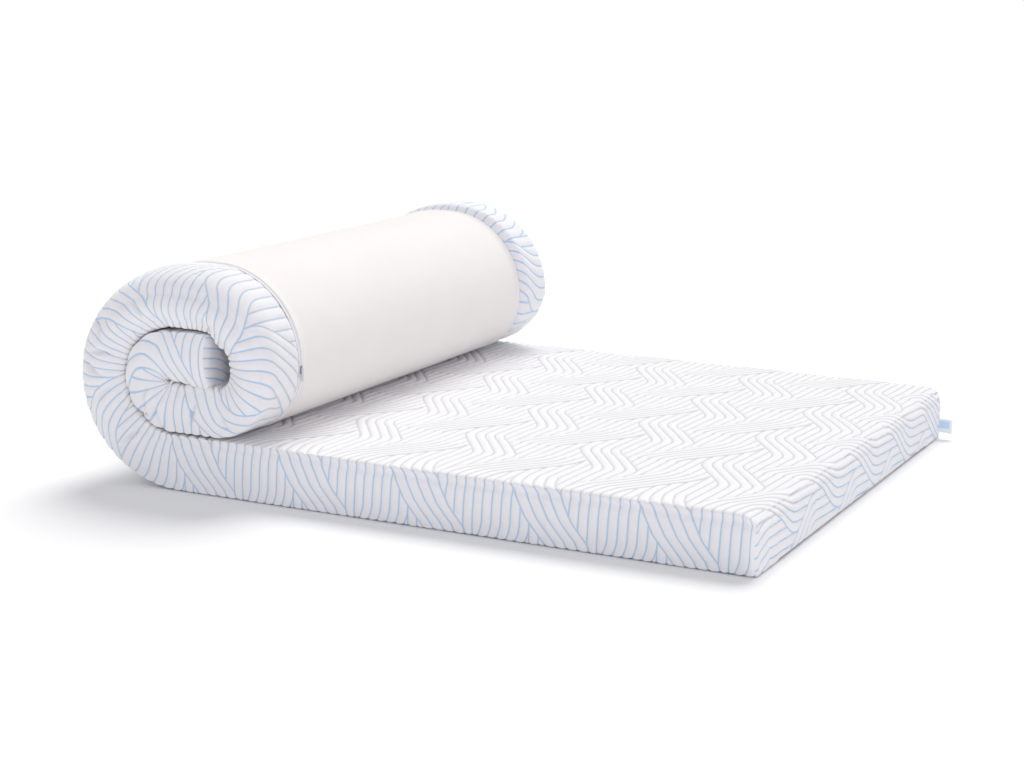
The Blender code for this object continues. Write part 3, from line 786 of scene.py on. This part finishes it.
def wound_strip(name, section_y, section_h, spacing, relief):
    """A closed section of points (y, h) carried along the underside, from one end's border to the
    other's. relief gives the depth added at each ring and point. The cloth's u is s and its v the
    path length round the section."""
    s0, s1 = END_BORDER + STRIP_INSET, TOTAL - END_BORDER - STRIP_INSET
    s = np.linspace(s0, s1, round((s1 - s0) / spacing) + 1)[:, None]
    sunk = drawn_in(s) - np.interp(s, SETTLED_S, UNDER_SWELL)
    column = np.arange(section_y.size)[None]
    points = place(s, section_y, section_h + sunk + relief(s, column, section_y))
    v = np.concatenate([[0], np.cumsum(np.hypot(np.diff(section_y), np.diff(section_h)))])
    flat = 0 * points[..., 0]
    uv = corner_uv(s + flat, v + flat, s + flat, np.append(v[1:], v[-1] + PANEL_THICK) + flat)
    return closed_tube(name, points, uv)


# %% Panel with its hem, and zip tapes with their teeth
def hem_and_wrinkles(s, column, y):
    """A welt along both long edges, an arch that stands out of the panel, and slow waves of slack
    cloth. Both grow from nothing where the cloth leaves the floor."""
    share = np.clip((panel_edge - np.abs(y)) / HEM_WIDTH, 0, 1)
    waves = np.sin(9 * s + 3 * np.sin(4 * y)) * np.sin(11 * y + 2 * np.sin(7 * s))
    welt = HEM_RISE * np.sin(np.pi * share) * (column < across.size)
    return rolled(s) * (WRINKLE * waves * smooth(share) - welt)


def teeth(s, column, y):
    """The column on the left stands out on even rings and the one on the right on odd rings."""
    ring = np.round(s / (TOOTH_PITCH / 2)).astype(int)
    left = (column == 1) & (ring % 2 == 0)
    right = (column == 3) & (ring % 2 == 1)
    return -TOOTH_RISE * (left | right | (column == 2))


hem = np.linspace(0, HEM_WIDTH, 7)[:-1]
middle = np.linspace(-panel_edge + HEM_WIDTH, panel_edge - HEM_WIDTH, 49)
across = np.concatenate([-panel_edge + hem, middle, panel_edge - hem[::-1]])
panel = wound_strip("base_panel_sheet", np.concatenate([across, across[::-1]]),
                    np.repeat([0, PANEL_THICK], across.size), PANEL_STEP, hem_and_wrinkles)
tapes = []
for side, sign in (("near", -1), ("far", 1)):
    edges = sign * np.array([panel_edge + SEAM_GAP, panel_edge + ZIP_WIDTH - SEAM_GAP])
    tapes.append(wound_strip(
        f"zip_tape_{side}_coil", np.concatenate([np.linspace(*edges, 5), np.linspace(*edges[::-1], 5)]),
        np.repeat([ZIP_SINK, ZIP_SINK + ZIP_THICK], 5), TOOTH_PITCH / 2, teeth))

# %% [markdown]
# ## The label
#
# The small tab at the corner is a strip of ribbon, folded in half and sewn in by its two ends. A
# flat plate would pass for it from afar, but the fold is what makes it cloth, so the ribbon's path
# is drawn in plan and given a height.

# %% Label: a folded tab of satin ribbon
RIBBON, FOLD_GAP, TAB_BOW, TAB_DROOP, SEWN_IN = 0.0004, 0.0006, 0.0012, 0.0012, 0.004


def folded_label():
    """The path in plan goes out, round the fold and back, and the ribbon's two faces lie half its
    thickness off the path. The tab bows sideways by the sine of its height and droops, both by the
    square of the distance out. Gives the piece, and the ribbon's width and length."""
    (_, y0, z0), (x1, y1, z1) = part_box("side_label")
    root, fold = X_OPEN - SEWN_IN, x1 - FOLD_GAP - RIBBON / 2
    turn = np.linspace(np.pi / 2, -np.pi / 2, 9)[1:-1]
    out = np.linspace(root, fold, 14)
    path = np.stack([
        np.concatenate([out, fold + FOLD_GAP * np.cos(turn), out[::-1]]),
        np.concatenate([0 * out + FOLD_GAP, FOLD_GAP * np.sin(turn), 0 * out - FOLD_GAP])], axis=-1)
    tangent = unit(np.gradient(path, axis=0))
    offset = np.stack([-tangent[:, 1], tangent[:, 0]], axis=-1) * RIBBON / 2
    section = np.concatenate([path + offset, (path - offset)[::-1]])
    length = np.concatenate([[0], np.cumsum(np.linalg.norm(np.diff(path, axis=0), axis=1))])
    z = np.linspace(z0, z1, 18)[:, None]
    share = (section[None, :, 0] - root) / (x1 - root)
    bow = TAB_BOW * np.sin(np.pi * (z - z0) / (z1 - z0)) * share ** 2
    points = np.stack([section[:, 0] + 0 * z, (y0 + y1) / 2 + section[:, 1] + bow,
                       z - TAB_DROOP * share ** 2], axis=-1)
    u = np.concatenate([length, length[::-1]]) + 0 * z
    v = z - z0 + 0 * u
    tab = closed_tube("side_label_ribbon", points, corner_uv(u, v, np.roll(u, -1, axis=1), v))
    return tab, (float(z1 - z0), float(length[-1]))


label, label_cut = folded_label()

# %% [markdown]
# ## Finishes
#
# The cover is matt polyester knit, and panel, tapes and label are plainer cloths of nearly the same
# white. Pictures of cloth could be laid over the pieces, but they would stretch in the bends. Here
# a few nodes work out each finish from the cloth's own u and v, so yarn, threads and the painted
# grey shade in the upper face's stitch lines follow the pad round every turn. Threads are finer than
# a picture's pixels, so they are drawn as coarse as they need to be to show.

# %% Colours and the one node helper
def linear(hex_colour):
    """sRGB hex to linear light: the low end is divided by 12.92, the rest is shifted and raised to
    the power 2.4."""
    c = np.array([int(hex_colour[i:i + 2], 16) for i in (1, 3, 5)]) / 255
    return (*np.where(c <= 0.04045, c / 12.92, ((c + 0.055) / 1.055) ** 2.4), 1.0)


def node(tree, kind, settings=None, inputs=None):
    """Adds a node to a tree. A socket given as an input is linked, any other value is set."""
    new = tree.nodes.new(kind)
    for name, value in (settings or {}).items():
        setattr(new, name, value)
    for key, value in (inputs or {}).items():
        if isinstance(value, bpy.types.NodeSocket):
            tree.links.new(value, new.inputs[key])
        else:
            new.inputs[key].default_value = value
    return new


def new_material(name):
    """An empty node material of that name, and its tree."""
    material = bpy.data.materials.new(name)
    material.use_nodes = True
    material.node_tree.nodes.clear()
    return material, material.node_tree


# %% Sums as nodes, and the grain of cloth
RAMPS = {"CLAMP": "LINEAR", "SMOOTH": "SMOOTHSTEP"}
WAVE_REPEAT = 0.314  # a wave texture repeats every 0.314 over its scale


def cloth_sockets(tree):
    """u and v of the piece's own UV map, in metres."""
    cloth = node(tree, "ShaderNodeUVMap", {"uv_map": "cloth"})
    split = node(tree, "ShaderNodeSeparateXYZ", None, {0: cloth.outputs[0]})
    return {"u": split.outputs[0], "v": split.outputs[1]}


def table_nodes(tree, table, values):
    """A table of sums as nodes. A ramp goes from 0 to 1 between low and low + span, straight or
    smooth, and every other row is a Math node. values holds the sockets by name, and gets the new
    ones."""
    for name, operation, *takes in table:
        if operation in RAMPS:
            value, low, span = takes
            values[name] = node(tree, "ShaderNodeMapRange", {"interpolation_type": RAMPS[operation]}, {
                "Value": values[value], "From Min": low, "From Max": low + span,
                "To Min": 0.0, "To Max": 1.0}).outputs[0]
        else:
            inputs = {i: values[t] if isinstance(t, str) else t for i, t in enumerate(takes)}
            values[name] = node(tree, "ShaderNodeMath", {"operation": operation}, inputs).outputs[0]
    return values


def fine_knit(tree, pitch, height):
    """Rows of fine loops as a bump: a wave along the cloth times one across it, pitch in metres."""
    cloth = node(tree, "ShaderNodeUVMap", {"uv_map": "cloth"})
    along, across_it = [node(tree, "ShaderNodeTexWave", {"bands_direction": direction}, {
        "Vector": cloth.outputs[0], "Scale": WAVE_REPEAT / pitch, "Distortion": 0.6, "Detail": 1.0})
        for direction in "XY"]
    loops = node(tree, "ShaderNodeMath", {"operation": "MULTIPLY"}, {
        0: along.outputs["Fac"], 1: across_it.outputs["Fac"]})
    return node(tree, "ShaderNodeBump", None, {
        "Height": loops.outputs[0], "Strength": 0.5, "Distance": height}).outputs[0]


# %% Quilted knit
# Where the stitch lines get painted grey shade, the shade of the grooves, instead of sky-blue yarn,
# and how wide the painted lines look. top is 1 on the upper face, and upward on the border and, where
# the pad is wound up, on its rim. Those fade half as much, to half yarn blue and half painted shade.
SHADE = [
    ("above", "SMOOTH", "v", 0.010, 0.010),
    ("beyond", "SMOOTH", "v", WIDTH, -0.008),
    ("before_tail", "SMOOTH", "u", RING_U[-1] + 0.006, -0.008),
    ("before_end", "SMOOTH", "u", -0.026, 0.020),
    ("face", "MULTIPLY", "above", "beyond"),
    ("to_tail", "MULTIPLY", "face", "before_tail"),
    ("top", "MULTIPLY", "to_tail", "before_end"),
    ("border", "SMOOTH", "v", -0.112, 0.012),
    ("under", "SUBTRACT", 1.0, "border"),
    ("rim", "SMOOTH", "v", -0.030, -0.028),
    ("wound", "SMOOTH", "u", 1.22, 0.14),
    ("turned", "MULTIPLY_ADD", "rim", "wound", "under"),
    ("upward", "MINIMUM", "turned", 1.0),
    ("half_faded", "MULTIPLY", "upward", 0.5),
    ("grey", "MAXIMUM", "top", "half_faded"),
    # On the upper face the painted groove shade reaches further up the grooves' sides, and further still in
    # the dense, slanted ribbons.
    ("reach", "MULTIPLY_ADD", "top", 0.0008, 0.0017),
    ("dense", "MULTIPLY", "slanted", "top"),
    ("wider", "MULTIPLY_ADD", "dense", 0.0010, "reach"),
]


def quilted_knit():
    """Polyester jersey, knitted and stitched through onto foam. Its fuzz gives the eye a matt white
    without any gleam, with sky-blue yarn in the stitch lines down the sides. The ones on the upper
    face get painted grey shade, which stands in for the shade in their grooves."""
    material, tree = new_material("quilted_polyester_jersey")
    values = table_nodes(tree, QUILTING + SHADE, cloth_sockets(tree))
    line = node(tree, "ShaderNodeMapRange", {"interpolation_type": "SMOOTHSTEP"}, {
        "Value": values["distance"], "From Min": 0.0005, "From Max": values["wider"],
        "To Min": 1.0, "To Max": 0.0})
    # Stitch-line colour: sky-blue yarn on the sides and border, and painted grey shade for the grooves'
    # shade on the upper face.
    yarn_and_painted_shade = node(tree, "ShaderNodeMix", {"data_type": "RGBA"}, {
        "Factor": values["grey"], 6: linear("#b9d4ec"), 7: linear("#d6d5d6")})
    cloud = node(tree, "ShaderNodeTexNoise", None, {"Scale": 22.0, "Detail": 2.0})
    ground = node(tree, "ShaderNodeMix", {"data_type": "RGBA"}, {
        "Factor": cloud.outputs[0], 6: linear("#f5f4f4"), 7: linear("#eeeeef")})
    colour = node(tree, "ShaderNodeMix", {"data_type": "RGBA"}, {
        "Factor": line.outputs[0], 6: ground.outputs[2], 7: yarn_and_painted_shade.outputs[2]})
    shader = node(tree, "ShaderNodeBsdfPrincipled", None, {
        "Base Color": colour.outputs[2], "Roughness": 0.9, "Sheen Weight": 0.3,
        "Subsurface Weight": 0.15, "Subsurface Radius": (1, 1, 1), "Subsurface Scale": 0.006,
        "Normal": fine_knit(tree, 0.0012, 0.0003)})
    node(tree, "ShaderNodeOutputMaterial", None, {"Surface": shader.outputs["BSDF"]})
    return material


# %% Plain knit, tape and ribbon
def plain_cloth(name, light, dark, pitch, roughness):
    """Unquilted cloth, knitted or woven, with loops or threads of that pitch. Two close tones mixed
    by slow noise give the eye an even white that isn't printed."""
    material, tree = new_material(name)
    cloud = node(tree, "ShaderNodeTexNoise", None, {"Scale": 9.0, "Detail": 3.0})
    tone = node(tree, "ShaderNodeMix", {"data_type": "RGBA"}, {
        "Factor": cloud.outputs[0], 6: linear(light), 7: linear(dark)})
    shader = node(tree, "ShaderNodeBsdfPrincipled", None, {
        "Base Color": tone.outputs[2], "Roughness": roughness, "Sheen Weight": 0.3,
        "Normal": fine_knit(tree, pitch, 0.3 * pitch)})
    node(tree, "ShaderNodeOutputMaterial", None, {"Surface": shader.outputs["BSDF"]})
    return material


def satin_label(height, length):
    """Woven satin ribbon, whose long smooth threads give the eye a soft gleam: white, with a
    sky-blue field inside its selvedges. The field is a box in u and v, made of three steep ramps."""
    material, tree = new_material("woven_satin_ribbon")
    values = table_nodes(tree, [
        ("folded", "PINGPONG", "u", length / 2),
        ("low", "CLAMP", "v", 0.30 * height, 0.03 * height),
        ("high", "CLAMP", "v", 0.89 * height, -0.03 * height),
        ("outer", "CLAMP", "folded", 0.42 * length, -0.02 * length),
        ("band", "MULTIPLY", "low", "high"),
        ("field", "MULTIPLY", "band", "outer"),
    ], cloth_sockets(tree))
    colour = node(tree, "ShaderNodeMix", {"data_type": "RGBA"}, {
        "Factor": values["field"], 6: linear("#f4f6fa"), 7: linear("#c6e2f4")})
    shader = node(tree, "ShaderNodeBsdfPrincipled", None, {
        "Base Color": colour.outputs[2], "Roughness": 0.45, "Sheen Weight": 0.2,
        "Normal": fine_knit(tree, 0.0005, 0.0001)})
    node(tree, "ShaderNodeOutputMaterial", None, {"Surface": shader.outputs["BSDF"]})
    return material


# %% Metal and paper
def cast_metal(name, colour):
    """Zinc cast in a mould and tumbled: a dull shine that fine scratches make uneven."""
    material, tree = new_material(name)
    where = node(tree, "ShaderNodeTexCoord")
    scratches = node(tree, "ShaderNodeTexNoise", None, {
        "Vector": where.outputs["Object"], "Scale": 900.0, "Detail": 3.0})
    shine = node(tree, "ShaderNodeMapRange", None, {
        "Value": scratches.outputs[0], "From Min": 0.3, "From Max": 0.7, "To Min": 0.35, "To Max": 0.6})
    shader = node(tree, "ShaderNodeBsdfPrincipled", None, {
        "Base Color": linear(colour), "Metallic": 0.55, "Roughness": shine.outputs[0]})
    node(tree, "ShaderNodeOutputMaterial", None, {"Surface": shader.outputs["BSDF"]})
    return material


def paper_floor():
    """A roll of white paper under the object: its fibres, a trace of noise in the roughness, give
    the eye a floor with no shine."""
    material, tree = new_material("white_paper_sweep")
    fibres = node(tree, "ShaderNodeTexNoise", None, {"Scale": 300.0})
    rough = node(tree, "ShaderNodeMapRange", None, {
        "Value": fibres.outputs[0], "From Min": 0.3, "From Max": 0.7, "To Min": 0.85, "To Max": 0.95})
    shader = node(tree, "ShaderNodeBsdfPrincipled", None, {
        "Base Color": linear("#f6f6f6"), "Roughness": rough.outputs[0]})
    node(tree, "ShaderNodeOutputMaterial", None, {"Surface": shader.outputs["BSDF"]})
    return material


# %% Put the finishes on
knit = quilted_knit()
for obj in cover:
    obj.data.materials.append(knit)
panel.data.materials.append(plain_cloth("brushed_polyester_knit", "#f8f4f0", "#f4efea", 0.0011, 0.85))
tape_finish = plain_cloth("woven_polyester_tape", "#f8f8fb", "#f1f1f6", 0.0006, 0.7)
for obj in tapes:
    obj.data.materials.append(tape_finish)
label.data.materials.append(satin_label(*label_cut))
for name, finish in (("zip_slider", cast_metal("die_cast_zinc", "#a9a7b0")),
                     ("zip_pull", cast_metal("brushed_zinc_tab", "#d6d3db"))):
    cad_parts[name].data.materials.clear()
    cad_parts[name].data.materials.append(finish)
print(len(knit.node_tree.nodes), "nodes in", knit.name)

# %% [markdown]
# ## Floor, light and camera
#
# The pad lies on white paper under an even white sky. A wide soft light comes from behind and above,
# and a weak violet one from low on the near side. Area lights would give the same look, but a sun
# is as strong at the roll as at the open end, so there is less to set. The camera's place comes from
# fitting the pad's corners to where they stand in the picture.

# %% Floor
FLOOR = 200.0  # half its width: the camera looks down so little that a small floor's edge would show
floor_mesh = bpy.data.meshes.new("floor")
floor_mesh.from_pydata([(-FLOOR, -FLOOR, 0), (FLOOR, -FLOOR, 0), (FLOOR, FLOOR, 0), (-FLOOR, FLOOR, 0)],
                       [], [(0, 1, 2, 3)])
floor = bpy.data.objects.new("floor", floor_mesh)
scene.collection.objects.link(floor)
floor_mesh.materials.append(paper_floor())
print(f"floor {2 * FLOOR:.0f} m wide")

# %% Light
SKY, SKY_STRENGTH = (0.99, 0.99, 1.0, 1), 0.61
# name, width in degrees, strength, colour, and where it comes from
LIGHTS = [
    ("key_light", 34, 1.98, (1, 1, 1), (-0.12, 0.85, 1.20)),
    ("fill_light", 16, 0.46, (0.78, 0.72, 1.0), (0.66, -0.78, 0.24)),
]
world = bpy.data.worlds.new("studio")
world.use_nodes = True
world.node_tree.nodes["Background"].inputs["Color"].default_value = SKY
world.node_tree.nodes["Background"].inputs["Strength"].default_value = SKY_STRENGTH
scene.world = world
for name, width, strength, colour, origin in LIGHTS:
    sun = bpy.data.lights.new(name, "SUN")
    sun.angle, sun.energy, sun.color = np.radians(width), strength, colour
    holder = bpy.data.objects.new(name, sun)
    holder.rotation_euler = Vector(origin).to_track_quat("Z", "Y").to_euler()
    scene.collection.objects.link(holder)
    print(f"{name}: {width} degrees wide, strength {strength}")
scene.view_settings.view_transform = "Standard"

# %% Camera
def camera_matrix(position, yaw, pitch, roll):
    """Forward is turned by yaw about Z and tipped down by pitch, right is level, and both the right
    and up vectors are then turned by roll about forward."""
    forward = np.array([np.cos(pitch) * np.sin(yaw), np.cos(pitch) * np.cos(yaw), -np.sin(pitch)])
    right = np.array([np.cos(yaw), -np.sin(yaw), 0.0])
    up = np.cross(right, forward)
    right2 = np.cos(roll) * right + np.sin(roll) * up
    up2 = -np.sin(roll) * right + np.cos(roll) * up
    matrix = np.eye(4)
    matrix[:3, 0], matrix[:3, 1], matrix[:3, 2], matrix[:3, 3] = right2, up2, -forward, position
    return Matrix(matrix.tolist())


CAMERA_AT, YAW, PITCH, ROLL = (1.3596, -2.8746, 0.7892), -0.4549, 0.2061, 0.0137  # metres, radians
LENS, FILM_WIDTH = 73.17, 36.0  # millimetres
camera = bpy.data.cameras.new("camera")
camera.lens, camera.sensor_width = LENS, FILM_WIDTH
camera.clip_end = 60
viewer = bpy.data.objects.new("camera", camera)
viewer.matrix_world = camera_matrix(CAMERA_AT, YAW, PITCH, ROLL)
scene.collection.objects.link(viewer)
scene.camera = viewer
print(f"camera {np.linalg.norm(CAMERA_AT):.2f} m away, {LENS:.0f} mm lens")

# %% Bodies: each piece hangs under the root body, in place of the CAD node it stands for, which is hidden
PIECES = [
    *[(obj, "quilted_knit", "topper_body") for obj in cover],
    (panel, "plain_knit", "base_panel"),
    (label, "label_cloth", "side_label"),
    (tapes[0], "zip_tape", "zip_tape_near"),
    (tapes[1], "zip_tape", "zip_tape_far"),
]
for obj, slot, stands_for in PIECES:
    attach(obj, "root")
    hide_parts(stands_for)
print(len(PIECES), "pieces declared")
